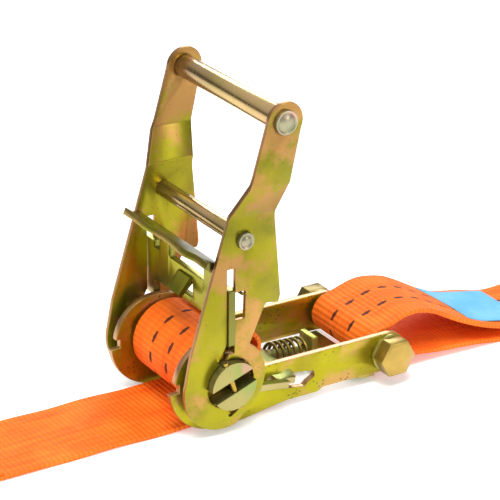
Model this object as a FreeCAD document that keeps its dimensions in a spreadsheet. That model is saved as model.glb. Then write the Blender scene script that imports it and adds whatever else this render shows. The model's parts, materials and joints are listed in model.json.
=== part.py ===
import FreeCAD, Part
import Sketcher
import math
import os

# A ratchet tie down for 35 mm webbing: a frame with a locking pawl and an anchored short strap, a spool
# with two ratchet wheels and the wound webbing, and a handle with a drive pawl and a rolling grip.
# Frame of the part: millimetres, origin on the spool axis, +X from the spool to the anchor bolt,
# +Y across the webbing from the near side to the far side, +Z up. It lies on the plane z = -ground_drop.

DRIVING = {
    "strap_width": 35.0, "strap_thick": 1.8, "wound_radius": 17.0, "ground_drop": 19.2,
    "plate_thick": 2.5, "handle_thick": 1.6, "strap_play": 1.2, "side_gap": 0.6, "running_gap": 0.35,
    "wheel_thick": 3.0, "wheel_tip": 14.0, "wheel_root": 10.9, "wheel_teeth": 12,
    "mandrel_radius": 9.0, "mandrel_gap": 5.0, "mandrel_angle": 20.0, "mandrel_over": 2.8,
    "cotter_radius": 1.0, "cotter_over": 1.0,
    "handle_crank": 5.1, "crank_low": 61.8, "crank_high": 73.6,
    "grip_across": 14.7, "grip_height": 94.9, "grip_radius": 4.1, "grip_wall": 0.9, "rivet_radius": 2.9,
    "head_radius": 4.3, "head_thick": 1.5, "spacer_across": 3.7, "spacer_height": 52.9,
    "spacer_radius": 3.0, "spacer_wall": 1.2, "spacer_head": 3.1,
    "drive_angle": 1.5, "drive_rest": 14.3, "slot_width": 3.2,
    "lock_angle": 8.0, "lock_rest": 14.0, "lock_drop": 4.32, "wire_radius": 0.55,
    "spring_small": 3.25, "spring_large": 4.3, "spring_pitch": 2.4, "spring_length": 14.6,
    "bolt_reach": 71.5, "bolt_drop": 7.9, "bolt_radius": 4.0, "bolt_flats": 13.0, "bolt_head": 5.3,
    "nut_height": 6.5, "washer_radius": 7.2, "washer_thick": 1.4, "bush_radius": 4.6,
    "eye_radius": 8.0, "left_eye": 115.0, "right_eye": 178.0, "label_thick": 0.5,
}

doc = FreeCAD.newDocument("RatchetTieDown")
sheet = doc.addObject("Spreadsheet::Sheet", "Sizes")
for row, (alias, number) in enumerate(DRIVING.items(), start=1):
    sheet.set(f"A{row}", alias)
    sheet.set(f"B{row}", str(number))
    sheet.setAlias(f"B{row}", alias)
doc.recompute()


class Size:
    """The driving dimensions as numbers, read back from the sheet."""


for alias in DRIVING:
    setattr(Size, alias, float(sheet.get(alias)))

# Layers across the webbing, counted from the middle plane: as numbers, and as expressions on the sheet.
FRAME_IN = Size.strap_width / 2 + Size.strap_play
FRAME_OUT = FRAME_IN + Size.plate_thick
WHEEL_IN = FRAME_OUT + Size.side_gap
WHEEL_OUT = WHEEL_IN + Size.wheel_thick
HANDLE_IN = WHEEL_OUT + Size.side_gap
HANDLE_OUT = HANDLE_IN + Size.handle_thick
GRIP_IN = HANDLE_IN + Size.handle_crank
GRIP_OUT = GRIP_IN + Size.handle_thick

FRAME_IN_X = "(Sizes.strap_width / 2 + Sizes.strap_play)"
FRAME_OUT_X = f"({FRAME_IN_X} + Sizes.plate_thick)"
WHEEL_IN_X = f"({FRAME_OUT_X} + Sizes.side_gap)"
WHEEL_OUT_X = f"({WHEEL_IN_X} + Sizes.wheel_thick)"
HANDLE_IN_X = f"({WHEEL_OUT_X} + Sizes.side_gap)"
HANDLE_OUT_X = f"({HANDLE_IN_X} + Sizes.handle_thick)"
GRIP_IN_X = f"({HANDLE_IN_X} + Sizes.handle_crank)"
GRIP_OUT_X = f"({GRIP_IN_X} + Sizes.handle_thick)"

GROUND = -Size.ground_drop
EDGE_GAP = 0.3
SWING = FreeCAD.Vector(0, -1, 0)
ALONG_Y = FreeCAD.Placement(FreeCAD.Vector(0, 0, 0), FreeCAD.Rotation(FreeCAD.Vector(1, 0, 0), -90))
nodes = []


def polar(radius, degrees):
    """A point of the side view at this radius and angle about the spool axis."""
    angle = math.radians(degrees)
    return (radius * math.cos(angle), radius * math.sin(angle))


def along(point, degrees, far, aside=0.0):
    """The point far along a direction of the side view and aside to its left."""
    cosine = math.cos(math.radians(degrees))
    sine = math.sin(math.radians(degrees))
    return (point[0] + far * cosine - aside * sine, point[1] + far * sine + aside * cosine)


def rounded(before, corner, after, radius):
    """The two tangent points and the middle of the arc that rounds a corner."""
    corner_v = FreeCAD.Vector(corner[0], corner[1], 0)
    to_before = (FreeCAD.Vector(before[0], before[1], 0) - corner_v).normalize()
    to_after = (FreeCAD.Vector(after[0], after[1], 0) - corner_v).normalize()
    half = to_before.getAngle(to_after) / 2
    reach = radius / math.tan(half)
    bisector = (to_before + to_after).normalize()
    centre = corner_v + bisector * (radius / math.sin(half))
    middle = centre - bisector * radius
    return corner_v + to_before * reach, middle, corner_v + to_after * reach


def draw(sketch, points):
    """A closed outline: (x, z) is a corner, (x, z, r) a rounded corner, ((x, z), (x, z)) an arc's end."""
    ends = [point[1] if isinstance(point[0], tuple) else point[:2] for point in points]
    joints = []
    for index, point in enumerate(points):
        if isinstance(point[0], tuple) or len(point) == 2:
            at = FreeCAD.Vector(ends[index][0], ends[index][1], 0)
            joints.append((at, None, at))
        else:
            joints.append(rounded(ends[index - 1], ends[index], ends[(index + 1) % len(ends)], point[2]))
    for index, (start, middle, end) in enumerate(joints):
        previous_end = joints[index - 1][2]
        if isinstance(points[index][0], tuple):
            over = FreeCAD.Vector(points[index][0][0], points[index][0][1], 0)
            sketch.addGeometry(Part.Arc(previous_end, over, start), False)
        else:
            sketch.addGeometry(Part.LineSegment(previous_end, start), False)
        if middle is not None:
            sketch.addGeometry(Part.Arc(start, middle, end), False)


def new_body(label):
    body = doc.addObject("PartDesign::Body", label)
    body.Label = label
    nodes.append(body)
    return body


def new_sketch(body, name, role, offset):
    """A sketch on one of the body's own origin planes, moved along its normal by an expression."""
    sketch = body.newObject("Sketcher::SketchObject", f"{body.Name}_{name}")
    plane = next(item for item in body.Origin.OriginFeatures if item.Role == role)
    sketch.AttachmentSupport = [(plane, "")]
    sketch.MapMode = "FlatFace"
    sketch.setExpression("AttachmentOffset.Base.z", offset)
    return sketch


def pad(body, sketch, length):
    feature = body.newObject("PartDesign::Pad", f"{sketch.Name}_pad")
    feature.Profile = sketch
    feature.setExpression("Length", length)
    return feature


def cut(body, name, role, offset, length, points):
    """A pocket of this outline from the offset plane, along the way the pads go."""
    sketch = new_sketch(body, name, role, offset)
    draw(sketch, points)
    return cut_sketch(body, sketch, length)


def cut_sketch(body, sketch, length):
    feature = body.newObject("PartDesign::Pocket", f"{sketch.Name}_cut")
    feature.Profile = sketch
    feature.Reversed = True
    feature.setExpression("Length", length)
    return feature


def circle(sketch, point, radius, expression=None):
    """A full circle, whose radius is bound to the sheet where an expression is given."""
    at = FreeCAD.Vector(point[0], point[1], 0)
    index = sketch.addGeometry(Part.Circle(at, FreeCAD.Vector(0, 0, 1), radius), False)
    if expression:
        row_number = sketch.addConstraint(Sketcher.Constraint("Radius", index, radius))
        sketch.setExpression(f"Constraints[{row_number}]", expression)


def round_hole(body, name, offset, length, point, radius, expression=None):
    sketch = new_sketch(body, name, "XZ_Plane", offset)
    circle(sketch, point, radius, expression)
    return cut_sketch(body, sketch, length)


def side_layer(side, low, high):
    """Where a layer between two distances from the middle plane starts, and how thick it is."""
    start = f"-({high})" if side > 0 else f"({low})"
    return start, f"({high}) - ({low})"


def rod(name, radius, length, start, across, height):
    """A cylinder along +Y from an expression for its low end."""
    shape = doc.addObject("Part::Cylinder", name)
    shape.Placement = ALONG_Y
    shape.setExpression("Radius", radius)
    shape.setExpression("Height", length)
    shape.setExpression("Placement.Base.x", across)
    shape.setExpression("Placement.Base.y", start)
    shape.setExpression("Placement.Base.z", height)
    return shape


def joined(kind, label, first, second):
    """A boolean of two shapes that is a sub-part, or a step towards one."""
    shape = doc.addObject(f"Part::{kind}", label)
    shape.Base = first
    shape.Tool = second
    return shape


def keep(shape, label):
    shape.Label = label
    nodes.append(shape)
    return shape


def half_moons(radius, gap):
    """The two halves of a split round bar, as closed outlines either side of its slot."""
    reach = math.sqrt(radius * radius - gap * gap / 4)
    upper = [(-reach, gap / 2), ((0, radius), (reach, gap / 2))]
    lower = [(reach, -gap / 2), ((0, -radius), (-reach, -gap / 2))]
    return upper, lower


# ---- frame -------------------------------------------------------------------------------------------
BOLT = (Size.bolt_reach, -Size.bolt_drop)
ARM_TOP = -0.4
ARM_BOTTOM = -16.3
ARM_STEP = -15.0
ARM_END = Size.bolt_drop + ARM_TOP
NOTCH_ANGLE = 180 + Size.drive_angle
NOTCH_FLOOR = Size.wound_radius
NOTCH_HALF = Size.plate_thick / 2 + 0.45
RIDGE = 18.7
LIP = 20.6


def frame_outline():
    """Spool disc with its notch and lip, long arm, and the round end about the anchor bolt."""
    ridge = along((0, 0), NOTCH_ANGLE, RIDGE, -NOTCH_HALF)
    lip = along((0, 0), NOTCH_ANGLE, LIP, NOTCH_HALF)
    return [
        (12.9, ARM_TOP + 1.2),
        ((9.6, 11.2), (0, 15.6)),
        ((-11.3, 13.2), ridge),
        along((0, 0), NOTCH_ANGLE, NOTCH_FLOOR, -NOTCH_HALF),
        along((0, 0), NOTCH_ANGLE, NOTCH_FLOOR, NOTCH_HALF),
        lip,
        ((-15.4, -13.3), (-1.0, GROUND)),
        (8.0, GROUND, 14),
        (28.0, ARM_BOTTOM, 12),
        (41.0, ARM_BOTTOM, 2),
        (43.5, ARM_STEP, 2),
        (BOLT[0] - 7, ARM_STEP, 6),
        (BOLT[0], BOLT[1] - ARM_END),
        ((BOLT[0] + ARM_END, BOLT[1]), (BOLT[0], ARM_TOP)),
        (16.0, ARM_TOP, 1.5),
    ]


def window_outline():
    """The pawl window in the arm: a slanted slot with a hump in its upper edge."""
    return [
        (19.6, -4.6, 1.0), (25.2, -5.0, 1.0), (27.8, -3.6, 1.5), (30.6, -6.1, 1.5),
        (39.0, -7.3, 0.8), (39.5, -9.6, 0.8), (36.6, -11.2, 0.8), (35.2, -12.6, 0.8), (17.8, -10.1, 1.0),
    ]


for side, name in ((-1, "near"), (1, "far")):
    plate = new_body(f"frame_plate_{name}")
    start, thick = side_layer(side, FRAME_IN_X, FRAME_OUT_X)
    outline = new_sketch(plate, "outline", "XZ_Plane", start)
    draw(outline, frame_outline())
    pad(plate, outline, thick)
    round_hole(plate, "axle", start, thick, (0, 0), Size.mandrel_radius + Size.running_gap,
               "Sizes.mandrel_radius + Sizes.running_gap")
    round_hole(plate, "bolt", start, thick, BOLT, Size.bolt_radius + 0.1, "Sizes.bolt_radius + 0.1")
    cut(plate, "window", "XZ_Plane", start, thick, window_outline())

# The web that joins the arms below the strap loop, with the upright tab that the lock spring pushes on.
WEB_TOP = -15.3
WEB_FRONT = 59.5
WEB_BACK = 68.0
TAB_FRONT = 50.0
TAB_HALF = 4.2
TAB_TOP = -4.6
TONGUE_HALF = 2.0
web = new_body("frame_cross_plate")
web_plan = new_sketch(web, "plan", "XY_Plane", f"{WEB_TOP} - Sizes.plate_thick")
draw(web_plan, [
    (TAB_FRONT, -TAB_HALF), (57.5, -TAB_HALF, 2), (WEB_FRONT, -FRAME_IN, 6), (WEB_BACK, -FRAME_IN),
    (WEB_BACK, FRAME_IN), (WEB_FRONT, FRAME_IN, 6), (57.5, TAB_HALF, 2), (TAB_FRONT, TAB_HALF),
])
pad(web, web_plan, "Sizes.plate_thick")
tab_plan = new_sketch(web, "tab", "XY_Plane", f"{WEB_TOP} - Sizes.plate_thick")
draw(tab_plan, [(TAB_FRONT, -TAB_HALF), (TAB_FRONT + Size.plate_thick, -TAB_HALF),
                (TAB_FRONT + Size.plate_thick, TAB_HALF), (TAB_FRONT, TAB_HALF)])
pad(web, tab_plan, f"{TAB_TOP - WEB_TOP} + Sizes.plate_thick")
TONGUE_MIDDLE = -TAB_FRONT * math.tan(math.radians(Size.lock_angle)) - Size.lock_drop
tongue_hole = new_sketch(web, "hole", "YZ_Plane", f"{TAB_FRONT}")
tongue_high = TONGUE_MIDDLE + Size.plate_thick / 2 + 0.7
tongue_low = TONGUE_MIDDLE - Size.plate_thick / 2 - 1.1
draw(tongue_hole, [(-TONGUE_HALF - 0.5, tongue_low), (TONGUE_HALF + 0.5, tongue_low),
                   (TONGUE_HALF + 0.5, tongue_high), (-TONGUE_HALF - 0.5, tongue_high)])
cut_sketch(web, tongue_hole, "Sizes.plate_thick")

# Anchor bolt with its bush, washers and nut.
BOLT_X = "Sizes.bolt_reach"
BOLT_Z = "-Sizes.bolt_drop"
HEAD_IN_X = f"({FRAME_OUT_X} + Sizes.washer_thick)"
hexagon = doc.addObject("Part::Prism", "bolt_hexagon")
hexagon.Polygon = 6
hexagon.Placement = ALONG_Y
hexagon.setExpression("Circumradius", "Sizes.bolt_flats / sqrt(3)")
hexagon.setExpression("Height", "Sizes.bolt_head")
hexagon.setExpression("Placement.Base.x", BOLT_X)
hexagon.setExpression("Placement.Base.y", f"-({HEAD_IN_X} + Sizes.bolt_head)")
hexagon.setExpression("Placement.Base.z", BOLT_Z)
shank = rod("bolt_shank", "Sizes.bolt_radius", f"2 * {HEAD_IN_X} + Sizes.nut_height + 1.5",
            f"-{HEAD_IN_X}", BOLT_X, BOLT_Z)
keep(joined("Fuse", "anchor_bolt", hexagon, shank), "anchor_bolt")

nut_blank = doc.addObject("Part::Prism", "nut_blank")
nut_blank.Polygon = 6
nut_blank.Placement = ALONG_Y
nut_blank.setExpression("Circumradius", "Sizes.bolt_flats / sqrt(3)")
nut_blank.setExpression("Height", "Sizes.nut_height")
nut_blank.setExpression("Placement.Base.x", BOLT_X)
nut_blank.setExpression("Placement.Base.y", HEAD_IN_X)
nut_blank.setExpression("Placement.Base.z", BOLT_Z)


def bored(label, outer, bore):
    """A sub-part with a round hole along the whole of it."""
    return keep(joined("Cut", label, outer, bore), label)


bored("anchor_nut", nut_blank,
      rod("nut_bore", "Sizes.bolt_radius", "Sizes.nut_height", HEAD_IN_X, BOLT_X, BOLT_Z))
for name, start in (("near", f"-{HEAD_IN_X}"), ("far", FRAME_OUT_X)):
    outer = rod(f"washer_disc_{name}", "Sizes.washer_radius", "Sizes.washer_thick", start, BOLT_X, BOLT_Z)
    inner = rod(f"washer_bore_{name}", "Sizes.bolt_radius + 0.2", "Sizes.washer_thick", start,
                BOLT_X, BOLT_Z)
    bored(f"washer_{name}", outer, inner)
bored("anchor_bush",
      rod("bush_outer", "Sizes.bush_radius", f"2 * {FRAME_IN_X}", f"-{FRAME_IN_X}", BOLT_X, BOLT_Z),
      rod("bush_bore", "Sizes.bolt_radius + 0.05", f"2 * {FRAME_IN_X}", f"-{FRAME_IN_X}", BOLT_X, BOLT_Z))

# ---- straps ------------------------------------------------------------------------------------------
STRAP_START = "-Sizes.strap_width / 2"
STRAP_TOP = GROUND + Size.strap_thick
PLY_TOP = GROUND + 2 * Size.strap_thick
EYE_Z = GROUND + Size.strap_thick + Size.eye_radius
EYE_OUTER = Size.eye_radius + Size.strap_thick


def eye_tangent(centre, point, direction):
    """Where the line from a point meets the outside of an eye, over its top."""
    across = point[0] - centre[0]
    up = point[1] - centre[1]
    reach = math.hypot(across, up)
    bearing = math.atan2(up, across)
    return polar_about(centre, EYE_OUTER, bearing + direction * math.acos(EYE_OUTER / reach))


def polar_about(centre, radius, angle):
    return (centre[0] + radius * math.cos(angle), centre[1] + radius * math.sin(angle))


def strap_body(label):
    body = new_body(label)
    return body, new_sketch(body, "side", "XZ_Plane", STRAP_START)


# Long strap: flat under the spool, doubled and sewn before its eye.
left_eye = (-Size.left_eye, EYE_Z)
left_crotch = (left_eye[0] + 13, PLY_TOP)
left_touch = eye_tangent(left_eye, left_crotch, 1)
long_strap, side_view = strap_body("long_strap")
draw(side_view, [
    (4.0, STRAP_TOP), (left_crotch[0] + 20, STRAP_TOP), (left_crotch[0] + 20, PLY_TOP), left_crotch,
    left_touch, ((left_eye[0] - EYE_OUTER, EYE_Z), (left_eye[0], GROUND)), (4.0, GROUND),
])
circle(side_view, left_eye, Size.eye_radius, "Sizes.eye_radius")
pad(long_strap, side_view, "Sizes.strap_width")

# Short strap: a loop round the bush, both plies brought together, sewn, and an eye at the end.
LOOP = (71.9, -7.3)
LOOP_OUTER = 7.6
right_eye = (Size.right_eye, EYE_Z)
right_crotch = (right_eye[0] - 13, PLY_TOP)
right_touch = eye_tangent(right_eye, right_crotch, -1)
# Each ply as the corners of its outer face, from the loop to where the plies meet.
upper_ply = [(84.0, 1.9, 30), (94.0, -0.6, 30), (120.0, -10.6, 60), (146.0, PLY_TOP, 60)]
lower_ply = [(88.0, LOOP[1] - LOOP_OUTER - 0.2, 60), (128.0, GROUND, 80)]
ply = Size.strap_thick * 1.04
short_strap, side_view = strap_body("short_strap")


def strap_loop(radius, shift):
    """The outline of the loop and both plies, on one face of the webbing."""
    upper = [(across, height - shift, bend) for across, height, bend in reversed(upper_ply)]
    lower = [(across, height + shift, bend) for across, height, bend in lower_ply]
    start = ((LOOP[0] - radius, LOOP[1]), (LOOP[0], LOOP[1] - radius))
    return start, lower, upper, (LOOP[0], LOOP[1] + radius)


start, lower, upper, top = strap_loop(LOOP_OUTER, 0)
draw(side_view, [start, *lower, (right_eye[0], GROUND),
                 ((right_eye[0] + EYE_OUTER, EYE_Z), right_touch), right_crotch, *upper, top])
start, lower, upper, top = strap_loop(LOOP_OUTER - Size.strap_thick, ply)
draw(side_view, [start, *lower, (upper_ply[-1][0], STRAP_TOP), *upper[1:], top])
circle(side_view, right_eye, Size.eye_radius, "Sizes.eye_radius")
pad(short_strap, side_view, "Sizes.strap_width")

# Label sewn on the upper ply.
LABEL_START = 113.0
LABEL_END = 143.0
before_bend, bend_at, after_bend = upper_ply[1], upper_ply[2], upper_ply[3]


def on_ply(across, lift):
    """A point above the upper ply's outer face."""
    low, high = (before_bend, bend_at) if across < bend_at[0] else (bend_at, after_bend)
    share = (across - low[0]) / (high[0] - low[0])
    return (across, low[1] + share * (high[1] - low[1]) + lift)


LABEL_LIFT = 0.1
label = new_body("strap_label")
side_view = new_sketch(label, "side", "XZ_Plane", "-(Sizes.strap_width / 2 - 3)")
label_top = LABEL_LIFT + Size.label_thick
draw(side_view, [
    on_ply(LABEL_START, LABEL_LIFT), (bend_at[0], bend_at[1] + LABEL_LIFT, bend_at[2]),
    on_ply(LABEL_END, LABEL_LIFT), on_ply(LABEL_END, label_top),
    (bend_at[0], bend_at[1] + label_top, bend_at[2]), on_ply(LABEL_START, label_top),
])
pad(label, side_view, "Sizes.strap_width - 6")

# ---- spool -------------------------------------------------------------------------------------------
MANDREL_END_X = f"({HANDLE_OUT_X} + Sizes.mandrel_over)"
COTTER_X = f"({HANDLE_OUT_X} + Sizes.mandrel_over / 2)"
tilt = FreeCAD.Placement(FreeCAD.Vector(0, 0, 0), FreeCAD.Rotation(SWING, Size.mandrel_angle))


def tilted(body):
    body.Placement = tilt
    body.setExpression("Placement.Rotation.Angle", "Sizes.mandrel_angle * 1 deg")


def drill(body, sign):
    """The hole across a mandrel half for the cotter of one end."""
    sketch = new_sketch(body, f"cotter_{'near' if sign < 0 else 'far'}", "XY_Plane", "-Sizes.mandrel_radius")
    circle(sketch, (0, sign * (HANDLE_OUT + Size.mandrel_over / 2)), Size.cotter_radius + 0.05)
    feature = body.newObject("PartDesign::Pocket", f"{sketch.Name}_cut")
    feature.Profile = sketch
    feature.Reversed = True
    feature.setExpression("Length", "2 * Sizes.mandrel_radius")


for index, name in ((0, "upper"), (1, "lower")):
    bar = new_body(f"mandrel_{name}")
    section = new_sketch(bar, "section", "XZ_Plane", f"-{MANDREL_END_X}")
    draw(section, half_moons(Size.mandrel_radius, Size.mandrel_gap)[index])
    pad(bar, section, f"2 * {MANDREL_END_X}")
    drill(bar, -1)
    drill(bar, 1)
    tilted(bar)

KEY_GAP = 0.1
for side, name in ((-1, "near"), (1, "far")):
    wheel = new_body(f"ratchet_wheel_{name}")
    start, thick = side_layer(side, WHEEL_IN_X, WHEEL_OUT_X)
    disc = new_sketch(wheel, "disc", "XZ_Plane", start)
    circle(disc, (0, 0), Size.wheel_tip, "Sizes.wheel_tip")
    pad(wheel, disc, thick)
    for outline, part_name in zip(half_moons(Size.mandrel_radius + KEY_GAP, Size.mandrel_gap - 2 * KEY_GAP),
                                  ("upper", "lower")):
        cut(wheel, f"key_{part_name}", "XZ_Plane", start, thick, outline)
    pitch = 360 / Size.wheel_teeth
    steep = 90 + Size.drive_angle + 9.5 - Size.mandrel_angle
    rear = steep - pitch + 3
    gap = new_sketch(wheel, "gap", "XZ_Plane", start)
    over = Size.wheel_tip + 0.5
    draw(gap, [
        polar(Size.wheel_root, steep - 19),
        (polar(Size.wheel_root, steep - 9.5), polar(Size.wheel_root, steep)),
        polar(over, steep), polar(over, rear),
    ])
    tooth = cut_sketch(wheel, gap, thick)
    ring = wheel.newObject("PartDesign::PolarPattern", f"{wheel.Name}_teeth")
    ring.Originals = [tooth]
    ring.Axis = (gap, ["N_Axis"])
    ring.Angle = 360
    ring.setExpression("Occurrences", "Sizes.wheel_teeth")
    wheel.Tip = ring
    tilted(wheel)

winding = new_body("wound_webbing")
section = new_sketch(winding, "section", "XZ_Plane", STRAP_START)
circle(section, (0, 0), Size.wound_radius, "Sizes.wound_radius")
for outline in half_moons(Size.mandrel_radius + KEY_GAP, Size.mandrel_gap - 2 * KEY_GAP):
    draw(section, outline)
pad(winding, section, "Sizes.strap_width")
tilted(winding)

for sign, name in ((-1, "near"), (1, "far")):
    pin = doc.addObject("Part::Cylinder", f"cotter_pin_{name}")
    half = Size.mandrel_radius + Size.cotter_over
    turn = math.radians(Size.mandrel_angle)
    pin.Placement = FreeCAD.Placement(
        FreeCAD.Vector(half * math.sin(turn), 0, -half * math.cos(turn)),
        FreeCAD.Rotation(SWING, Size.mandrel_angle))
    pin.setExpression("Radius", "Sizes.cotter_radius")
    pin.setExpression("Height", "2 * (Sizes.mandrel_radius + Sizes.cotter_over)")
    pin.setExpression("Placement.Base.y", f"{sign} * {COTTER_X}")
    keep(pin, f"cotter_pin_{name}")

# ---- handle ------------------------------------------------------------------------------------------
GRIP = (Size.grip_across, Size.grip_height)
SPACER = (Size.spacer_across, Size.spacer_height)
SLOT_ANGLE = 90 + Size.drive_angle
SLOT_FOOT = 11.2
SLOT_HEAD = 43.2


def handle_outline():
    """Side view of a handle plate: ring about the axle, tapering blade and the round grip end."""
    return [
        (-18.0, 3.5),
        ((-9.8, -14.9), (3.0, -16.0)),
        (8.4, -10.6),
        ((14.2, 1.0), (9.2, 12.2)),
        (7.2, 13.2, 1.0),
        (13.2, 27.6, 1.5),
        (18.6, 26.7, 1.0),
        (19.2, 29.5, 1.5),
        (15.6, 60.0, 12),
        (17.6, 72.0, 20),
        (21.4, 92.0),
        ((GRIP[0] + 1.2, GRIP[1] + 6.7), (GRIP[0] - 6.7, GRIP[1])),
        (3.1, 76.1, 25),
        (-2.7, 61.7, 25),
        (-16.4, 13.2, 12),
    ]


def crank_outline(side):
    """Front view of a cranked plate: everything of its layer that the bent sheet leaves free."""
    inside = [
        (HANDLE_IN - 1, Size.crank_high + 40), (HANDLE_IN - 1, Size.crank_low + 0.6),
        (HANDLE_IN, Size.crank_low + 0.6, 1), (GRIP_IN, Size.crank_high + 0.6, 3),
        (GRIP_IN, Size.crank_high + 40),
    ]
    outside = [
        (HANDLE_OUT, -40), (GRIP_OUT + 1, -40), (GRIP_OUT + 1, Size.crank_high - 0.6),
        (GRIP_OUT, Size.crank_high - 0.6), (HANDLE_OUT, Size.crank_low - 0.6, 3),
    ]
    return [[(side * point[0], *point[1:]) for point in region] for region in (inside, outside)]


def slot_outline(width, foot, head):
    """A parallel slot along the drive pawl's way, between two distances from the axle."""
    return [along((0, 0), SLOT_ANGLE, foot, -width / 2), along((0, 0), SLOT_ANGLE, head, -width / 2),
            along((0, 0), SLOT_ANGLE, head, width / 2), along((0, 0), SLOT_ANGLE, foot, width / 2)]


POCKET = (0.9, 4.9, 23.7, 34.1)
for side, name in ((-1, "near"), (1, "far")):
    plate = new_body(f"handle_plate_{name}")
    start, thick = side_layer(side, HANDLE_IN_X, GRIP_OUT_X)
    outline = new_sketch(plate, "outline", "XZ_Plane", start)
    draw(outline, handle_outline())
    pad(plate, outline, thick)
    bend = new_sketch(plate, "crank", "YZ_Plane", "-60")
    for region in crank_outline(side):
        draw(bend, region)
    cut_sketch(plate, bend, "120")
    round_hole(plate, "axle", start, thick, (0, 0), Size.mandrel_radius + Size.running_gap,
               "Sizes.mandrel_radius + Sizes.running_gap")
    cut(plate, "slot", "XZ_Plane", start, thick, slot_outline(Size.slot_width, SLOT_FOOT, SLOT_HEAD))
    cut(plate, "pocket", "XZ_Plane", start, thick,
        [(POCKET[0] - 1, POCKET[2], 0.4), (POCKET[1], POCKET[2], 0.6), (POCKET[1], POCKET[3], 0.6),
         (POCKET[0] - 1.4, POCKET[3], 0.4)])
    cut(plate, "channel", "XZ_Plane", start, thick,
        [(-1.5, 16.4), (-5.2, 9.0), (-3.2, 7.0), (1.2, 15.2)])
    cut(plate, "notch", "XZ_Plane", start, thick,
        [(-0.9, -8.6), (-0.2, -13.4, 0.8), (3.4, -10.9, 0.8), (3.6, -8.0)])
    round_hole(plate, "spacer", start, thick, SPACER, Size.spacer_radius - Size.spacer_wall,
               "Sizes.spacer_radius - Sizes.spacer_wall")
    round_hole(plate, "grip", start, thick, GRIP, Size.rivet_radius, "Sizes.rivet_radius")

GRIP_X = "Sizes.grip_across"
GRIP_Z = "Sizes.grip_height"


def rivet(label, radius, head_radius, head_thick, outer_face, across, height):
    """A rivet through both handle plates with a round head on each side."""
    stem = rod(f"{label}_stem", radius, f"2 * {outer_face}", f"-{outer_face}", across, height)
    head_near = rod(f"{label}_head_near", head_radius, head_thick, f"-({outer_face} + {head_thick})",
                    across, height)
    head_far = rod(f"{label}_head_far", head_radius, head_thick, outer_face, across, height)
    return keep(joined("Fuse", label, joined("Fuse", f"{label}_half", stem, head_near), head_far), label)


rivet("grip_rivet", "Sizes.rivet_radius", "Sizes.head_radius", "Sizes.head_thick", GRIP_OUT_X, GRIP_X, GRIP_Z)
rivet("spacer_rivet", "Sizes.spacer_radius - Sizes.spacer_wall", "Sizes.spacer_head", "Sizes.head_thick",
      HANDLE_OUT_X, "Sizes.spacer_across", "Sizes.spacer_height")
bored("spacer_tube",
      rod("spacer_outer", "Sizes.spacer_radius", f"2 * {HANDLE_IN_X}", f"-{HANDLE_IN_X}",
          "Sizes.spacer_across", "Sizes.spacer_height"),
      rod("spacer_bore", "Sizes.spacer_radius - Sizes.spacer_wall", f"2 * {HANDLE_IN_X}", f"-{HANDLE_IN_X}",
          "Sizes.spacer_across", "Sizes.spacer_height"))
SLEEVE_X = f"({GRIP_IN_X} - 0.3)"
bored("grip_sleeve",
      rod("sleeve_outer", "Sizes.grip_radius", f"2 * {SLEEVE_X}", f"-{SLEEVE_X}", GRIP_X, GRIP_Z),
      rod("sleeve_bore", "Sizes.grip_radius - Sizes.grip_wall", f"2 * {SLEEVE_X}", f"-{SLEEVE_X}",
          GRIP_X, GRIP_Z))

# ---- drive pawl --------------------------------------------------------------------------------------
# Drawn upright in the YZ plane and turned by drive_angle into the slots of the handle.
PAWL_CENTRE_LOW = 20.8
PAWL_TOP = 33.0
EAR_TOP = 35.4
EAR_OUT = HANDLE_OUT + 0.6
PAWL_IN = FRAME_OUT + 0.3
FOOT_OUT = WHEEL_OUT + 0.3
NECK = (11.5, 17.5)
HALF = Size.plate_thick / 2
LIP_SLOPE = 155
lip_root = (-4.6, 43.0)
lip_edge = along(lip_root, LIP_SLOPE, 6.4)
lip_middle = along(lip_root, LIP_SLOPE, 3.0)
half_thick = "Sizes.plate_thick / 2"
drive = new_body("drive_pawl")
front = new_sketch(drive, "front", "YZ_Plane", f"-{half_thick}")
right_half = [
    (PAWL_IN, PAWL_CENTRE_LOW, 1.0), (PAWL_IN, Size.drive_rest), (EAR_OUT, Size.drive_rest, 0.8),
    (EAR_OUT, EAR_TOP, 0.8), (PAWL_IN, EAR_TOP, 0.8), (PAWL_IN, PAWL_TOP), (NECK[1], PAWL_TOP, 1.0),
    (NECK[1], 38.0), (NECK[0], 38.0), (NECK[0], PAWL_TOP, 1.0),
]
draw(front, right_half + [(-point[0], *point[1:]) for point in reversed(right_half)])
pad(drive, front, "Sizes.plate_thick")
for sign, name in ((-1, "near"), (1, "far")):
    low, high = f"{NECK[0]}", f"{NECK[1]}"
    start, thick = side_layer(sign, low, high)
    bend = new_sketch(drive, f"neck_{name}", "XZ_Plane", start)
    draw(bend, [(-HALF, 37.0), (HALF, 37.0), (HALF, 38.8, 3),
                (*along(lip_root, LIP_SLOPE, 0, -Size.plate_thick), 2),
                along(lip_root, LIP_SLOPE, 3.0, -Size.plate_thick), lip_middle, (*lip_root, 2), (-HALF, 38.2, 2)])
    pad(drive, bend, thick)
# The finger lip slopes up and forward. Its ends are narrowed, to pass in front of the handle plates.
LIP_HALF = HANDLE_IN - 0.5
LIP_END = LIP_HALF + 2.2
NARROW_AT = -8.8
finger = new_sketch(drive, "lip", "XZ_Plane", f"{-LIP_END}")
draw(finger, [lip_root, lip_edge, along(lip_root, LIP_SLOPE, 6.4, -Size.plate_thick),
              along(lip_root, LIP_SLOPE, 0, -Size.plate_thick)])
pad(drive, finger, f"{2 * LIP_END}")
for sign, name in ((-1, "near"), (1, "far")):
    cut(drive, f"narrowed_{name}", "XY_Plane", f"{lip_root[1] - 1}", "10",
        [(0, sign * LIP_HALF), (NARROW_AT, sign * LIP_HALF, 0.6), (NARROW_AT, sign * (LIP_END + 1)),
         (0, sign * (LIP_END + 1))])
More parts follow.
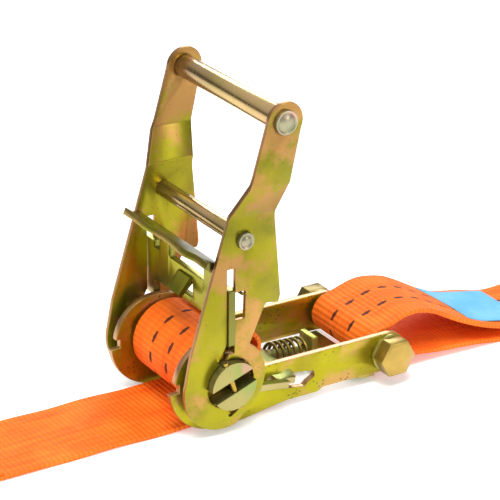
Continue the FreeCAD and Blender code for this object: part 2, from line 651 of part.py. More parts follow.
# Lanced spring tongue in the middle of the plate, with its hole.
TONGUE_TOP = 30.4
cut(drive, "lanced", "YZ_Plane", f"-{half_thick}", "Sizes.plate_thick",
    [(-4.4, 23.4, 1.0), (4.4, 23.4, 1.0), (4.4, TONGUE_TOP), (-4.4, TONGUE_TOP)])
start, thick = "-4", "8"
bend = new_sketch(drive, "tongue", "XZ_Plane", start)
draw(bend, [(-HALF, TONGUE_TOP + 1.0), (-HALF, TONGUE_TOP - 1.6), (-5.6, 24.6), (-6.8, 25.8),
            (-2.2, TONGUE_TOP + 1.0)])
pad(drive, bend, thick)
drive.Placement = FreeCAD.Placement(FreeCAD.Vector(0, 0, 0), FreeCAD.Rotation(SWING, Size.drive_angle))
drive.setExpression("Placement.Rotation.Angle", "Sizes.drive_angle * 1 deg")

# ---- locking pawl ------------------------------------------------------------------------------------
# Drawn flat in its own plane, along the slide, and turned down by lock_angle into the frame windows.
MAIN_FRONT = 21.5
MAIN_BACK = 34.0
NECK_FRONT = 23.6
NECK_BACK = 32.0
EAR_BACK = 27.2
TONGUE_END = 56.0
MAIN_HALF = FRAME_IN - 0.4
locking = new_body("locking_pawl")
flat = new_sketch(locking, "flat", "XY_Plane", "-Sizes.lock_drop - Sizes.plate_thick / 2")
upper_half = [
    (MAIN_FRONT, MAIN_HALF, 0.8), (NECK_FRONT, MAIN_HALF), (NECK_FRONT, PAWL_IN + 0.3),
    (Size.lock_rest, PAWL_IN + 0.3, 0.4), (Size.lock_rest, FOOT_OUT, 0.4), (EAR_BACK, FOOT_OUT, 1.0),
    (EAR_BACK, PAWL_IN + 0.3), (NECK_BACK, PAWL_IN + 0.3, 1.0), (NECK_BACK, MAIN_HALF),
    (MAIN_BACK, MAIN_HALF, 0.8), (MAIN_BACK, TONGUE_HALF), (TONGUE_END, TONGUE_HALF, 0.8),
]
draw(flat, [(point[0], -point[1], *point[2:]) for point in upper_half] + list(reversed(upper_half)))
pad(locking, flat, "Sizes.plate_thick")
locking.Placement = FreeCAD.Placement(FreeCAD.Vector(0, 0, 0), FreeCAD.Rotation(SWING, -Size.lock_angle))
locking.setExpression("Placement.Rotation.Angle", "-Sizes.lock_angle * 1 deg")

# ---- springs -----------------------------------------------------------------------------------------
coil = doc.addObject("Part::Helix", "lock_coil")
SPRING_START = MAIN_BACK + Size.wire_radius + 0.15
coil.Placement = FreeCAD.Placement(
    FreeCAD.Rotation(SWING, -Size.lock_angle).multVec(FreeCAD.Vector(SPRING_START, 0, -Size.lock_drop)),
    FreeCAD.Rotation(SWING, -Size.lock_angle).multiply(FreeCAD.Rotation(FreeCAD.Vector(0, 1, 0), 90)))
coil.setExpression("Radius", "Sizes.spring_small")
coil.setExpression("Pitch", "Sizes.spring_pitch")
coil.setExpression("Height", "Sizes.spring_length")
coil.setExpression("Angle", "atan((Sizes.spring_large - Sizes.spring_small) / Sizes.spring_length)")
wire_section = doc.addObject("Part::Circle", "lock_wire_section")
wire_section.setExpression("Radius", "Sizes.wire_radius")
doc.recompute()
first_edge = coil.Shape.Edges[0]
wire_section.Placement = FreeCAD.Placement(
    first_edge.valueAt(first_edge.FirstParameter),
    FreeCAD.Rotation(FreeCAD.Vector(0, 0, 1), first_edge.tangentAt(first_edge.FirstParameter)))
lock_spring = doc.addObject("Part::Sweep", "locking_pawl_spring")
lock_spring.Sections = [wire_section]
lock_spring.Spine = (coil, [f"Edge{number}" for number in range(1, len(coil.Shape.Edges) + 1)])
lock_spring.Solid = True
lock_spring.Frenet = True
keep(lock_spring, "locking_pawl_spring")


def bent_wire(points, bend):
    """A path of straight runs joined by tangent arcs."""
    vectors = [FreeCAD.Vector(*point) for point in points]
    edges = []
    here = vectors[0]
    for before, corner, after in zip(vectors, vectors[1:], vectors[2:]):
        to_before = (before - corner).normalize()
        to_after = (after - corner).normalize()
        half = to_before.getAngle(to_after) / 2
        reach = bend / math.tan(half)
        bisector = (to_before + to_after).normalize()
        middle = corner + bisector * (bend / math.sin(half) - bend)
        edges.append(Part.LineSegment(here, corner + to_before * reach).toShape())
        edges.append(Part.Arc(corner + to_before * reach, middle, corner + to_after * reach).toShape())
        here = corner + to_after * reach
    edges.append(Part.LineSegment(here, vectors[-1]).toShape())
    return Part.Wire(edges)


# Drive spring: a bent wire whose ends lie in the side pockets and whose middle rests behind the pawl.
WIRE_X = (POCKET[0] + 1.3 + POCKET[1]) / 2 - 0.2
WIRE_TOP = POCKET[3] - Size.wire_radius - 0.2
WIRE_LOW = 25.0
wire_half = [
    (WIRE_X, HANDLE_OUT + 0.4, WIRE_TOP), (WIRE_X, HANDLE_IN - 3.0, WIRE_TOP), (WIRE_X, 8.0, WIRE_LOW),
]
path = bent_wire([(x, -y, z) for x, y, z in wire_half] + list(reversed(wire_half)), 1.6)
start_point = path.OrderedVertexes[0].Point
section = Part.Wire(Part.Circle(start_point, FreeCAD.Vector(0, 1, 0), Size.wire_radius).toShape())
drive_spring = doc.addObject("Part::Feature", "drive_pawl_spring")
drive_spring.Shape = path.makePipeShell([section], True, True)
keep(drive_spring, "drive_pawl_spring")

# ---- checks and export -------------------------------------------------------------------------------
doc.recompute()
for item in doc.Objects:
    if "Invalid" in item.State or "Error" in item.State:
        raise RuntimeError(f"{item.Name} failed: {item.State}")
for node in nodes:
    if node.Shape.isNull() or not node.Shape.isValid():
        raise RuntimeError(f"{node.Label} has no valid shape")
    if len(node.Shape.Solids) != 1:
        raise RuntimeError(f"{node.Label} has {len(node.Shape.Solids)} solids")

os.makedirs("parts", exist_ok=True)
for node in nodes:
    node.Shape.exportStep(f"parts/{node.Label}.step")
    print(node.Label, round(node.Shape.Volume, 1))
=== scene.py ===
import json
import math
import bpy
from mathutils import Matrix, Vector


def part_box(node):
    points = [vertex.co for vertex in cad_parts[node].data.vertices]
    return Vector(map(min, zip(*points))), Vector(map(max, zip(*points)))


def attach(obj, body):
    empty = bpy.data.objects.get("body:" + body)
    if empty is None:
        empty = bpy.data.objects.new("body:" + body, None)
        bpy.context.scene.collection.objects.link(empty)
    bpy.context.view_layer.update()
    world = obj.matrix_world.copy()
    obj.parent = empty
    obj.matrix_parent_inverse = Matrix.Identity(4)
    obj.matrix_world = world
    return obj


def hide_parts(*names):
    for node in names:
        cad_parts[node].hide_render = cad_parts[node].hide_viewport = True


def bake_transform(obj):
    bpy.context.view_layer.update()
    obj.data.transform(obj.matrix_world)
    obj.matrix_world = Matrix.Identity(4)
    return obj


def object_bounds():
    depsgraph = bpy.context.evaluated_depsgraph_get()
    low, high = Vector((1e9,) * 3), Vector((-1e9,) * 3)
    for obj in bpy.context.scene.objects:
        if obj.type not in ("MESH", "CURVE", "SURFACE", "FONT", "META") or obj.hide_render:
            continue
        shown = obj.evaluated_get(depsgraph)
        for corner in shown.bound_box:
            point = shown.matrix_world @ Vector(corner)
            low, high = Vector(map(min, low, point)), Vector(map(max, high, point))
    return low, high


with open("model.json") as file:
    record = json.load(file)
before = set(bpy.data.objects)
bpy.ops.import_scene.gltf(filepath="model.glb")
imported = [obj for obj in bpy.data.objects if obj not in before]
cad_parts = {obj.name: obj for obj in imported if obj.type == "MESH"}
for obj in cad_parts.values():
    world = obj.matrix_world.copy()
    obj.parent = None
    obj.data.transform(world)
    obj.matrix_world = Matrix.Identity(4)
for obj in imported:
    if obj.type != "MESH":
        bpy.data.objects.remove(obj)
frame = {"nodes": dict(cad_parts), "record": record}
box_at_start = [list(corner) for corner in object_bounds()]

# ---- Camera, floor and light ------------------------------------------------------------------------
# The tie down stands on a plain white table, seen from the near left and a little above, with one large
# soft lamp over it, weaker ones low on the left and right, and a dim one behind to draw the plates' rims.
camera = bpy.data.objects.new("camera", bpy.data.cameras.new("camera"))
camera.data.lens = 166.775
camera.data.sensor_width = 36
camera.data.clip_end = 20
camera.matrix_world = Matrix((
    (0.83634, 0.19855, -0.51100, -0.39068),
    (-0.54732, 0.35588, -0.75749, -0.61508),
    (0.03145, 0.91320, 0.40630, 0.36426),
    (0, 0, 0, 1)))
bpy.context.collection.objects.link(camera)
bpy.context.scene.camera = camera
bpy.context.scene.view_settings.view_transform = "Standard"


def unselect():
    for thing in bpy.context.selected_objects:
        thing.select_set(False)


unselect()
bpy.ops.mesh.primitive_plane_add(size=6, location=(0, 0, box_at_start[0][2] - 0.0002))
table = bpy.context.object
table.name = "table"
bpy.ops.object.mode_set(mode="EDIT")
bpy.ops.mesh.subdivide(number_cuts=8)
bpy.ops.object.mode_set(mode="OBJECT")
table_white = bpy.data.materials.new("table white")
table_white.use_nodes = True
table_white.node_tree.nodes["Principled BSDF"].inputs["Base Color"].default_value = (0.93, 0.93, 0.93, 1)
table_white.node_tree.nodes["Principled BSDF"].inputs["Roughness"].default_value = 0.9
table_white.node_tree.nodes["Principled BSDF"].inputs["Emission Color"].default_value = (1, 1, 1, 1)
table_white.node_tree.nodes["Principled BSDF"].inputs["Emission Strength"].default_value = 0.26
table.data.materials.append(table_white)

world = bpy.data.worlds.new("studio")
world.use_nodes = True
sky = world.node_tree.nodes.new("ShaderNodeTexCoord")
height = world.node_tree.nodes.new("ShaderNodeSeparateXYZ")
bands = world.node_tree.nodes.new("ShaderNodeValToRGB")
bands.color_ramp.elements[0].position, bands.color_ramp.elements[0].color = 0.0, (0.10, 0.10, 0.10, 1)
bands.color_ramp.elements[1].position, bands.color_ramp.elements[1].color = 0.75, (1.3, 1.3, 1.3, 1)
for place, grey in ((0.22, 0.16), (0.34, 0.85)):
    stop = bands.color_ramp.elements.new(place)
    stop.color = (grey, grey, grey, 1)
world.node_tree.links.new(sky.outputs["Generated"], height.inputs[0])
world.node_tree.links.new(height.outputs[2], bands.inputs[0])
world.node_tree.links.new(bands.outputs[0], world.node_tree.nodes["Background"].inputs["Color"])
world.node_tree.nodes["Background"].inputs["Strength"].default_value = 0.6
bpy.context.scene.world = world


def lamp(name, place, aim, size, power):
    light = bpy.data.objects.new(name, bpy.data.lights.new(name, "AREA"))
    light.data.size = size
    light.data.energy = power
    light.location = place
    light.rotation_euler = (Vector(aim) - Vector(place)).to_track_quat("-Z", "Y").to_euler()
    bpy.context.collection.objects.link(light)


lamp("overhead lamp", (-0.25, -0.35, 1.1), (0.02, 0, 0), 0.5, 11)
lamp("left lamp", (-1.0, -0.7, 0.5), (0, 0, 0.03), 0.35, 4)
lamp("low right lamp", (0.60, -0.98, 0.38), (0, 0, 0.07), 0.3, 2.5)
lamp("rim lamp", (0.6, 0.9, 0.6), (0, 0, 0.03), 0.5, 6)

# ---- Frame: two side plates and the cross plate -------------------------------------------------------
# Stamped from 2.5 mm sheet steel, tumbled, and electroplated with zinc under a yellow chromate, which
# dries unevenly: olive gold on the flats, rose at the cut edges, with small stains where drops stood.
class Level:
    """A value inside a finish. Sums written with it add the nodes that work them out."""

    def __init__(self, finish, socket):
        self.finish = finish
        self.socket = socket

    def worked(self, operation, *values):
        return self.finish.add("ShaderNodeMath", {"operation": operation}, dict(enumerate(values)))

    def __add__(self, other):
        return self.worked("ADD", self, other)

    def __radd__(self, other):
        return self.worked("ADD", other, self)

    def __sub__(self, other):
        return self.worked("SUBTRACT", self, other)

    def __rsub__(self, other):
        return self.worked("SUBTRACT", other, self)

    def __mul__(self, other):
        return self.worked("MULTIPLY", self, other)

    def __rmul__(self, other):
        return self.worked("MULTIPLY", other, self)

    def __truediv__(self, other):
        return self.worked("DIVIDE", self, other)

    def __abs__(self):
        return self.worked("ABSOLUTE", self)

    def rising(self, low, high):
        """0 below low, 1 above high, smooth between; falling when low is the larger."""
        return self.finish.add("ShaderNodeMapRange", {"interpolation_type": "SMOOTHSTEP"},
                               {"Value": self, "From Min": low, "From Max": high})


class Finish:
    """A surface finish being mixed; add() places one node with its settings and its sockets."""

    def __init__(self, name):
        self.material = bpy.data.materials.new(name)
        self.material.use_nodes = True
        self.tree = self.material.node_tree
        self.shader = self.tree.nodes["Principled BSDF"]

    def wire(self, socket, value):
        if isinstance(value, Level):
            self.tree.links.new(value.socket, socket)
        else:
            socket.default_value = value

    def add(self, kind, settings=(), sockets=(), out=0):
        node = self.tree.nodes.new(kind)
        for key, value in dict(settings).items():
            setattr(node, key, value)
        for key, value in dict(sockets).items():
            self.wire(node.inputs[key], value)
        return Level(self, node.outputs[out])

    def mottle(self, place, scale, detail=3.0, roughness=0.55):
        return self.add("ShaderNodeTexNoise", {},
                        {"Vector": place, "Scale": scale, "Detail": detail, "Roughness": roughness})

    def mix(self, share, first, second):
        return self.add("ShaderNodeMix", {"data_type": "RGBA"}, {0: share, 6: first, 7: second}, out=2)

    def shade(self, colour, value):
        """A colour made darker or lighter by a value."""
        return self.add("ShaderNodeVectorMath", {"operation": "SCALE"}, {0: colour, "Scale": value})

    def relief(self, height, depth, strength=1.0):
        return self.add("ShaderNodeBump", {}, {"Height": height, "Distance": depth, "Strength": strength})

    def done(self, **sockets):
        for key, value in sockets.items():
            self.wire(self.shader.inputs[key.replace("_", " ")], value)
        return self.material


def tint(code):
    """A colour given as six letters of hue, as on a paint chart, turned to light."""
    parts = [int(code[at:at + 2], 16) / 255 for at in (0, 2, 4)]
    return tuple(part / 12.92 if part <= 0.04045 else ((part + 0.055) / 1.055) ** 2.4 for part in parts) + (1,)


# How many patches of each kind there are in a metre of plate, and where the warm top begins and is full.
CLOUDS, DRIFTS, HANDLING, GRAIN, DENTS, STAINS = 38, 47, 21, 1400, 260, 620.0
WARM_HEIGHTS = (0.058, 0.088)


def zinc(name, flats, second_tone, blush, edge_tone_and_shade, flat_axis, stains=0.0, metal=0.9, rough=0.24,
         polish=0.5, warm_top=0.0):
    """Yellow chromate zinc. flat_axis is the way the rolled faces look; the others are cut edges.
    A warm_top turns the top of a tall piece rosier; a polish of 0 leaves the surface smooth."""
    finish = Finish(name)
    place = finish.add("ShaderNodeTexCoord", out="Object")
    facing = finish.add("ShaderNodeTexCoord", out="Normal")
    split = finish.add("ShaderNodeSeparateXYZ", {}, {0: facing}, out=flat_axis)
    edge = abs(split).rising(0.75, 0.45)
    cloud = finish.mottle(place, CLOUDS, 4)
    drift = finish.mottle(place, DRIFTS, 4, 0.62)
    grain = finish.mottle(place, GRAIN, 2)
    handled = finish.mottle(place, HANDLING, 2, 0.4)
    if warm_top:
        height = finish.add("ShaderNodeSeparateXYZ", {}, {0: place}, out=2)
        drift = drift + warm_top * height.rising(*WARM_HEIGHTS)
    colour = finish.mix(cloud.rising(0.40, 0.62), tint(flats), tint(second_tone))
    colour = finish.mix(drift.rising(0.49, 0.64) * 0.75, colour, tint(blush))
    colour = finish.mix(edge * (0.55 + 0.45 * drift.rising(0.3, 0.6)), colour, tint(edge_tone_and_shade))
    colour = finish.shade(colour, (0.94 + 0.12 * grain) * (0.74 + 0.4 * handled.rising(0.3, 0.62)))
    if stains:
        spot = finish.add("ShaderNodeTexVoronoi", {}, {"Vector": place, "Scale": STAINS}, out="Distance")
        region = finish.mottle(place, 110, 2).rising(0.48, 0.58)
        colour = finish.mix(spot.rising(0.30, 0.14) * region * stains, colour, tint("4a4a2a"))
    if polish:
        dents = finish.mottle(place, DENTS, 3)
        finish.done(Normal=finish.relief(grain + 2.0 * dents, 0.00004, polish))
    return finish.done(Base_Color=colour, Metallic=metal, Roughness=rough + 0.16 * cloud + 0.06 * grain)


def plated(node, finish, rounding=0.25, smooth_under=32, clamp=False, rides=True):
    """A merged copy of a CAD node with its sharp edges broken, which stands in for it."""
    original = frame["nodes"][node]
    piece = bpy.data.objects.new(node + "_plated", original.data.copy())
    bpy.context.collection.objects.link(piece)
    unselect()
    piece.select_set(True)
    bpy.context.view_layer.objects.active = piece
    bpy.ops.object.mode_set(mode="EDIT")
    bpy.ops.mesh.select_all(action="SELECT")
    bpy.ops.mesh.remove_doubles(threshold=0.000002)
    bpy.ops.mesh.dissolve_limited(angle_limit=math.radians(0.6))
    bpy.ops.object.mode_set(mode="OBJECT")
    if rounding:
        soft = piece.modifiers.new("broken edges", "BEVEL")
        soft.width = rounding / 1000
        soft.segments = 2
        soft.limit_method = "ANGLE"
        soft.angle_limit = math.radians(smooth_under)
        soft.use_clamp_overlap = clamp
        bpy.ops.object.modifier_apply(modifier=soft.name)
    bpy.ops.object.shade_smooth_by_angle(angle=math.radians(smooth_under))
    piece.data.materials.clear()
    piece.data.materials.append(finish)
    bodies = frame["record"]["behaviour"]["bodies"]
    if rides:
        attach(piece, next(body for body in bodies if node in bodies[body]))
    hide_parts(node)
    return piece


frame_zinc = zinc("frame zinc", "a89f1c", "938720", "be905a", "b58c68", 1, stains=0.8)
cross_zinc = zinc("cross plate zinc", "9aa03c", "858e38", "b08f5c", "b8a45c", 2)
for node in ("frame_plate_near", "frame_plate_far"):
    plated(node, frame_zinc)
plated("frame_cross_plate", cross_zinc)

# ---- Anchor bolt with its nut, washers and bush -------------------------------------------------------
# A forged hexagon bolt that holds the two side plates apart over a turned bush, with a nut on the far
# side. Chromate over forged steel is browner than on sheet, and the turned face of the head is tan.
# Painted shade: the dark olive on the hex sides of the bolt head and nut stands in for the shade on those
# faces.
bolt_zinc = zinc("bolt zinc", "c0a050", "a88c44", "cfa47a", "6f5f28", 1, metal=0.85, rough=0.24, polish=0.3)
turned_zinc = zinc("turned zinc", "b9ab5e", "9c9250", "c8a780", "7f7a3e", 1, metal=0.82, rough=0.26)
anchor_bolt = plated("anchor_bolt", bolt_zinc, 0.35)
plated("anchor_nut", bolt_zinc, 0.3)
for node in ("washer_near", "washer_far"):
    plated(node, turned_zinc, 0.2)
plated("anchor_bush", turned_zinc, 0.2)


def stepped(piece, side, end, rings):
    """Works the flat faces this far out on one side (-1 near, 1 far) of a turned piece: each ring is
    (inset, depth) in millimetres."""
    unselect()
    piece.select_set(True)
    bpy.context.view_layer.objects.active = piece
    bpy.ops.object.mode_set(mode="EDIT")
    bpy.ops.mesh.select_all(action="DESELECT")
    bpy.ops.object.mode_set(mode="OBJECT")
    for face in piece.data.polygons:
        face.select = abs(face.normal.y) > 0.99 and abs(face.center.y * 1000 * side - end) < FACE_SLACK
    bpy.ops.object.mode_set(mode="EDIT")
    bpy.ops.mesh.select_mode(type="FACE")
    for inset, depth in rings:
        bpy.ops.mesh.inset(thickness=inset / 1000, depth=depth / 1000)
    bpy.ops.object.mode_set(mode="OBJECT")
    bpy.ops.object.shade_smooth_by_angle(angle=math.radians(32))


FACE_SLACK = 0.05
bolt_end = -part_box("anchor_bolt")[0].y * 1000
stepped(anchor_bolt, -1, bolt_end, [(0.9, 0.35), (0.3, 0.0)])

# ---- Short strap --------------------------------------------------------------------------------------
# 35 mm polyester webbing, woven flat with fine ribs across it and two lines of black marker yarn. It
# goes round the bush, both plies are laid together and sewn, and they open again into an eye.
MM = 0.001
STRAP_WIDTH = 35.0


def rounded_line(corners):
    """Points along straight runs whose corners are rounded: each corner is (along, height, radius)."""
    line = [Vector(corners[0][:2])]
    for before, here, after in zip(corners, corners[1:], corners[2:]):
        corner = Vector(here[:2])
        back = (Vector(before[:2]) - corner)
        ahead = (Vector(after[:2]) - corner)
        turn = back.angle(ahead)
        radius = here[2] if len(here) > 2 else 1.0
        reach = min(radius / math.tan(turn / 2), 0.49 * back.length, 0.49 * ahead.length)
        start, end = corner + back.normalized() * reach, corner + ahead.normalized() * reach
        for step in range(9):
            share = step / 8
            line.append(start.lerp(corner, share).lerp(corner.lerp(end, share), share))
    line.append(Vector(corners[-1][:2]))
    return line


def arc_line(centre, radius, start, end, steps=24):
    angles = [math.radians(start + (end - start) * step / steps) for step in range(steps + 1)]
    return [Vector((centre[0] + radius * math.cos(a), centre[1] + radius * math.sin(a))) for a in angles]


def even_line(line, spacing=0.8, rounds=4):
    """The same line with evenly spaced points, its small kinks relaxed as cloth relaxes them."""
    total = sum((b - a).length for a, b in zip(line, line[1:]))
    count = max(8, round(total / spacing))
    points, travelled, at = [line[0].copy()], 0.0, 0
    for step in range(1, count):
        goal = total * step / count
        while travelled + (line[at + 1] - line[at]).length < goal:
            travelled += (line[at + 1] - line[at]).length
            at += 1
        run = line[at + 1] - line[at]
        points.append(line[at] + run * ((goal - travelled) / run.length))
    points.append(line[-1].copy())
    for _ in range(rounds):
        points = [points[0]] + [(a + 2 * b + c) / 4 for a, b, c in zip(points, points[1:], points[2:])] \
            + [points[-1]]
    return points, total


def webbing_piece(name, line, cloths, width=STRAP_WIDTH, thick=1.7, wander=0.25, ripple=0.0, bow=0.0):
    """A flat band swept along a line in the side view: a single layer first, then its thickness. The band
    wanders sideways, its edges ripple, and a bow cuts its first end in a curve, all in millimetres. The
    first cloth faces outwards and the last inwards."""
    points, length = even_line(line)
    across = 28
    rows, travelled = [], 0.0
    corners, threads = [], []
    for number, point in enumerate(points):
        if number:
            travelled += (point - points[number - 1]).length
        ahead = points[min(number + 1, len(points) - 1)] - points[max(number - 1, 0)]
        out = Vector((-ahead.y, ahead.x)).normalized()
        sway = wander * (math.sin(travelled / 11.0) + 0.6 * math.sin(travelled / 4.3 + 1.0)) / 1.6
        for column in range(across + 1):
            share = column / across - 0.5
            lift = ripple * (2 * share) ** 4 * math.sin(travelled / 5.2 + (2.0 if share > 0 else 0))
            cut_back = bow * (0.3 - 1.2 * share - 2.6 * share * share) * max(0.0, 1 - 2 * number / len(points))
            spot = point + out * lift + ahead.normalized() * cut_back
            corners.append((spot.x * MM, (share * width + sway * (0.4 + abs(share))) * MM, spot.y * MM))
            threads.append(((share + 0.5) * width * MM, travelled * MM))
    faces = []
    for number in range(len(points) - 1):
        for column in range(across):
            here = number * (across + 1) + column
            faces.append((here, here + 1, here + across + 2, here + across + 1))
    mesh = bpy.data.meshes.new(name)
    mesh.from_pydata(corners, [], faces)
    weave = mesh.uv_layers.new(name="weave")
    for loop in mesh.loops:
        weave.data[loop.index].uv = threads[loop.vertex_index]
    for cloth in cloths:
        mesh.materials.append(cloth)
    piece = bpy.data.objects.new(name, mesh)
    bpy.context.collection.objects.link(piece)
    unselect()
    piece.select_set(True)
    bpy.context.view_layer.objects.active = piece
    wall = piece.modifiers.new("thickness", "SOLIDIFY")
    wall.thickness = thick * MM
    wall.offset = 0
    wall.use_even_offset = False
    wall.material_offset = len(cloths) - 1
    bpy.ops.object.modifier_apply(modifier=wall.name)
    selvedge = piece.modifiers.new("selvedge", "BEVEL")
    selvedge.width = 0.5 * MM
    selvedge.segments = 3
    selvedge.limit_method = "ANGLE"
    selvedge.angle_limit = math.radians(60)
    bpy.ops.object.modifier_apply(modifier=selvedge.name)
    bpy.ops.object.shade_smooth()
    return piece, length


RIB_PITCH, YARN_PITCH, DASH_PITCH, MARKER_PLACE = 0.0019, 0.00085, 0.0074, 0.0052


def polyester(name, markers=True):
    """Orange webbing. The weave map runs across the band in u and along it in v, both in metres."""
    finish = Finish(name)
    weave = finish.add("ShaderNodeUVMap", {"uv_map": "weave"})
    across = finish.add("ShaderNodeSeparateXYZ", {}, {0: weave}, out=0)
    along = finish.add("ShaderNodeSeparateXYZ", {}, {0: weave}, out=1)
    place = finish.add("ShaderNodeTexCoord", out="Object")
    rib = finish.add("ShaderNodeMath", {"operation": "SINE"}, {0: along * (2 * math.pi / RIB_PITCH)})
    yarn = finish.add("ShaderNodeMath", {"operation": "SINE"}, {0: across * (2 * math.pi / YARN_PITCH)})
    stretched = finish.add("ShaderNodeCombineXYZ", {}, {0: across * 520.0, 1: along * 28.0})
    streak = finish.mottle(stretched, 1.0, 3)
    patch = finish.mottle(place, 60, 3)
    fuzz = finish.mottle(place, 2600, 2)
    colour = finish.mix(streak.rising(0.3, 0.7), tint("f56206"), tint("ff780e"))
    colour = finish.mix(patch.rising(0.42, 0.7) * 0.45, colour, tint("ff9028"))
    # Painted shade: the troughs between the ribs are darkened with a deeper orange, as shade in the grooves.
    colour = finish.mix((0.5 - 0.5 * rib) * 0.34, colour, tint("dc4606"))
    colour = finish.mix(fuzz.rising(0.45, 0.8) * 0.18, colour, tint("ff9c38"))
    if markers:
        dash = finish.add("ShaderNodeMath", {"operation": "FRACT"}, {0: along / DASH_PITCH})
        taper = 1 - abs(dash * 3.3 - 1.0)
        near = abs(abs(across - STRAP_WIDTH * MM / 2) - MARKER_PLACE)
        mark = taper.rising(0.0, 0.2) * (near + 0.0004 * (1 - taper)).rising(0.00100, 0.0007)
        colour = finish.mix(mark * 0.93, colour, tint("1c1512"))
    height = rib * 0.5 + yarn * 0.22 + fuzz * 0.5
    return finish.done(Base_Color=colour, Roughness=0.62 + 0.18 * fuzz, Specular_IOR_Level=0.3,
                       Normal=finish.relief(height, 0.00032, 0.8))


marked_webbing = polyester("marked webbing")
plain_webbing = polyester("plain webbing", markers=False)
GROUND_LINE = -18.3
short_path = rounded_line([(150.2, GROUND_LINE), (177.9, GROUND_LINE)])
short_path += arc_line((178.0, -9.4), 8.9, -90, 155.6)
short_path += rounded_line([(169.8, -5.8), (165.0, -16.5, 4), (146.0, -16.5, 60), (120.0, -11.5, 60),
                            (95.0, 1.0, 30), (84.0, 3.6, 26), (71.95, -0.6)])
short_path += arc_line((71.9, -7.3), 6.7, 90, 270)
short_path += rounded_line([(71.95, -14.0), (88.0, -14.2, 60), (128.0, GROUND_LINE, 80), (149.8, GROUND_LINE)])
short_strap, short_length = webbing_piece("short_strap_webbing", short_path,
                                           (marked_webbing, plain_webbing), ripple=0.3)
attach(short_strap, "frame")
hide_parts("short_strap")
short_length * MM

# ---- Label --------------------------------------------------------------------------------------------
# A thin woven label, sky blue, laid on the upper ply and sewn down; its inner edge is cut in a curve and
# stands a little off the webbing.
label_cloth = Finish("label cloth")
weave = label_cloth.add("ShaderNodeTexCoord", out="Object")
soft_cloud = label_cloth.mottle(weave, 70, 3)
thread = label_cloth.mottle(weave, 1900, 2)
blue = label_cloth.mix(soft_cloud.rising(0.35, 0.7), tint("4fa6d8"), tint("6db6e0"))
blue = label_cloth.mix(thread.rising(0.4, 0.8) * 0.25, blue, tint("8fcbe8"))
label_blue = label_cloth.done(Base_Color=blue, Roughness=0.55 + 0.2 * thread,
                              Normal=label_cloth.relief(thread, 0.0001, 0.6))
label_path = rounded_line([(113.0, -6.85), (120.0, -10.0, 60), (143.0, -14.6)])
label, label_length = webbing_piece("sewn_label", label_path, (label_blue,), width=29.0, thick=0.4,
                                    wander=0.0, bow=3.0)
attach(label, "frame")
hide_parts("strap_label")
label_length * MM

# ---- Long strap ---------------------------------------------------------------------------------------
# The same webbing, drawn flat along the ground to its eye, where the end is folded back and sewn down.
# At the spool its last turn lies slack round the back of the roll, bulging towards the locking pawl.
TURN_RADIUS, TURN_START, TURN_SWEEP, TURN_STEPS = 16.5, 66, 154, 60
BULGE, BULGE_AT, BULGE_SPREAD = 2.8, 26, 20
SAG, SAG_START, SAG_SWEEP = 1.5, -15, 70
long_path = []
for step in range(TURN_STEPS + 1):
    turned = TURN_START - TURN_SWEEP * step / TURN_STEPS
    bulge = BULGE * math.exp(-((turned - BULGE_AT) / BULGE_SPREAD) ** 2)
    sag = SAG * max(0.0, min(1.0, (SAG_START - turned) / SAG_SWEEP))
    radius, angle = TURN_RADIUS + (bulge + sag), math.radians(turned)
    long_path.append(Vector((radius * math.cos(angle), radius * math.sin(angle))))
long_path += rounded_line([(-1.0, -18.05), (-16.0, GROUND_LINE, 80), (-114.9, GROUND_LINE)])
long_path += arc_line((-115.0, -9.4), 8.9, 270, 24.4)
long_path += rounded_line([(-106.9, -5.8), (-102.0, -16.45, 4), (-82.3, -16.45)])
long_strap, long_length = webbing_piece("long_strap_webbing", long_path,
                                         (plain_webbing, marked_webbing), ripple=0.2)
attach(long_strap, "frame")
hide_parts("long_strap")
long_length * MM

# ---- Spool: mandrel halves, ratchet wheels, cotter pins and the wound webbing --------------------------
# Two half round bars with the webbing between them turn with the ratchet wheels, and cotter pins across
# their ends keep them in. The ends are sheared, so the chromate on them is patchy green and rose.
# Painted shade: the near-black olive on the mandrels' sides stands in for the shade between the frame plates,
# where they show through the hole.
mandrel_zinc = zinc("mandrel zinc", "a0965a", "7d9448", "c08a7c", "4c4824", 1, metal=0.8, rough=0.3)
wheel_zinc = zinc("wheel zinc", "a98a34", "8c7c30", "b98a50", "b3a078", 1, metal=0.95, rough=0.14, polish=0.25)
for node in ("mandrel_upper", "mandrel_lower"):
    plated(node, mandrel_zinc, 0.3)
for node in ("ratchet_wheel_near", "ratchet_wheel_far"):
    plated(node, wheel_zinc, 0.25)
for node in ("cotter_pin_near", "cotter_pin_far"):
    plated(node, wheel_zinc, 0.15)

TURNS, ROLL_START, ROLL_STEPS = 1.75, -52, 180
ROLL_OUTER, ROLL_CLOSES, ROLL_LEAN = 13.9, 3.8, 0.75
wound_path = []
for step in range(ROLL_STEPS + 1):
    share = step / ROLL_STEPS
    angle = math.radians(ROLL_START) + share * TURNS * 2 * math.pi
    radius = ROLL_OUTER - ROLL_CLOSES * share
    shift = ROLL_LEAN * (1 - share)
    wound_path.append(Vector((shift + radius * math.cos(angle), 0.25 * shift + radius * math.sin(angle))))
wound, wound_length = webbing_piece("wound_webbing_roll", wound_path, (marked_webbing, plain_webbing),
                                    wander=0.15)
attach(wound, "spool")
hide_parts("wound_webbing")
wound_length * MM

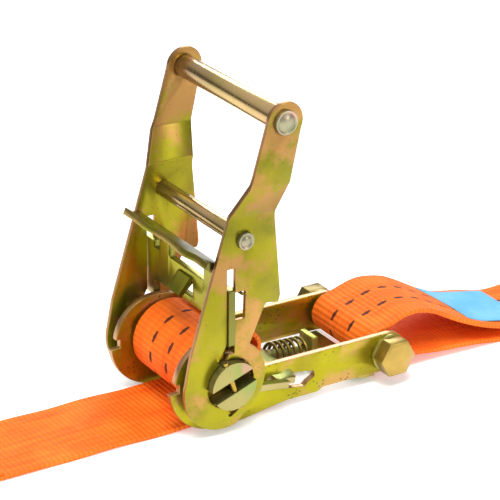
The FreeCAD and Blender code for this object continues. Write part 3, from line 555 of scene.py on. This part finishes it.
# ---- Handle: plates, spacer and grip --------------------------------------------------------------------
# Two cranked stampings, mirrored, held apart by a riveted tube and by the long rivet of the grip, over
# which a turned sleeve rolls in the hand.
handle_zinc = zinc("handle zinc", "9a921e", "847e22", "ba8452", "a97c56", 1, stains=0.3,
                   warm_top=0.075)
for node in ("handle_plate_near", "handle_plate_far"):
    plated(node, handle_zinc)
sleeve_zinc = zinc("sleeve zinc", "bfae52", "a89c48", "cf9f80", "c8a878", 1, metal=0.95, rough=0.12, polish=0)
rivet_zinc = zinc("rivet zinc", "b3a58c", "9fa07c", "c79f8e", "8a8660", 1, metal=0.85, rough=0.26)
for node in ("grip_rivet", "spacer_rivet"):
    head_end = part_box(node)[1].y * 1000
    rivet = plated(node, rivet_zinc, 0.2)
    for side in (-1, 1):
        stepped(rivet, side, head_end, [(0.5, 0.0), (0.25, -0.35), (0.15, 0.0), (0.2, 0.35)])
plated("spacer_tube", sleeve_zinc, 0.2)
plated("grip_sleeve", sleeve_zinc, 0.3)

# ---- Drive pawl and its spring --------------------------------------------------------------------------
# One thick stamping that slides in the handle's slots, with a finger lip along its front edge, bent a
# little out of true by the press, and a wire spring behind it.
# Painted shade: the dark olive on the pawl's cut edges, the front edge of its lip among them, stands in for
# the shade on those edges.
pawl_zinc = zinc("pawl zinc", "a09a2a", "848026", "b08a50", "747238", 0, metal=0.92, rough=0.2)
drive_pawl = plated("drive_pawl", pawl_zinc, 0.2, clamp=True)
unselect()
drive_pawl.select_set(True)
bpy.context.view_layer.objects.active = drive_pawl
bpy.ops.object.mode_set(mode="EDIT")
LIP_HALF, LIP_ROOT, LIP_HEIGHT = 23, -5.0, 0.040
for cut in range(1 - LIP_HALF, LIP_HALF, 2):
    bpy.ops.mesh.select_all(action="SELECT")
    bpy.ops.mesh.bisect(plane_co=(0, cut / 1000, 0), plane_no=(0, 1, 0))
bpy.ops.object.mode_set(mode="OBJECT")
for vertex in drive_pawl.data.vertices:
    across, reach = vertex.co.y * 1000, min(1.0, max(0.0, (LIP_ROOT - vertex.co.x * 1000) / 4))
    if reach and abs(across) < LIP_HALF and vertex.co.z > LIP_HEIGHT:
        wave = 1.1 * math.exp(-((across + 12) / 6) ** 2) + 0.7 * math.exp(-((across - 13) / 7) ** 2) - 0.35
        wave *= min(1.0, (LIP_HALF - abs(across)) / 3)
        vertex.co.x -= 0.0006 * wave * reach
        vertex.co.z -= 0.0005 * wave * reach
spring_zinc = zinc("spring zinc", "a08a3c", "7d6d2e", "8f7a4e", "6f6030", 2, metal=0.92, rough=0.25)
drive_wire = plated("drive_pawl_spring", spring_zinc, 0, rides=False)
low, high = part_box("drive_pawl_spring")
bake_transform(drive_wire)

# ---- Locking pawl and its spring ------------------------------------------------------------------------
# A flat stamping that slides in the frame's windows, pushed at the wheels by a conical coil over its
# tongue.
lock_zinc = zinc("locking pawl zinc", "8f9446", "7a823c", "b59264", "b6a070", 2, metal=0.86, rough=0.3)
plated("locking_pawl", lock_zinc, 0.25)
lock_coil = plated("locking_pawl_spring", spring_zinc, 0, rides=False)
low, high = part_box("locking_pawl_spring")
LOCK_TILT, COIL_OVERSIZE = math.radians(8), 0.18
middle = (low + high) / 2
coil_axis = Vector((-math.cos(LOCK_TILT), 0, math.sin(LOCK_TILT)))
for vertex in lock_coil.data.vertices:
    from_middle = vertex.co - middle
    vertex.co += COIL_OVERSIZE * (from_middle - from_middle.dot(coil_axis) * coil_axis)
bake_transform(lock_coil)
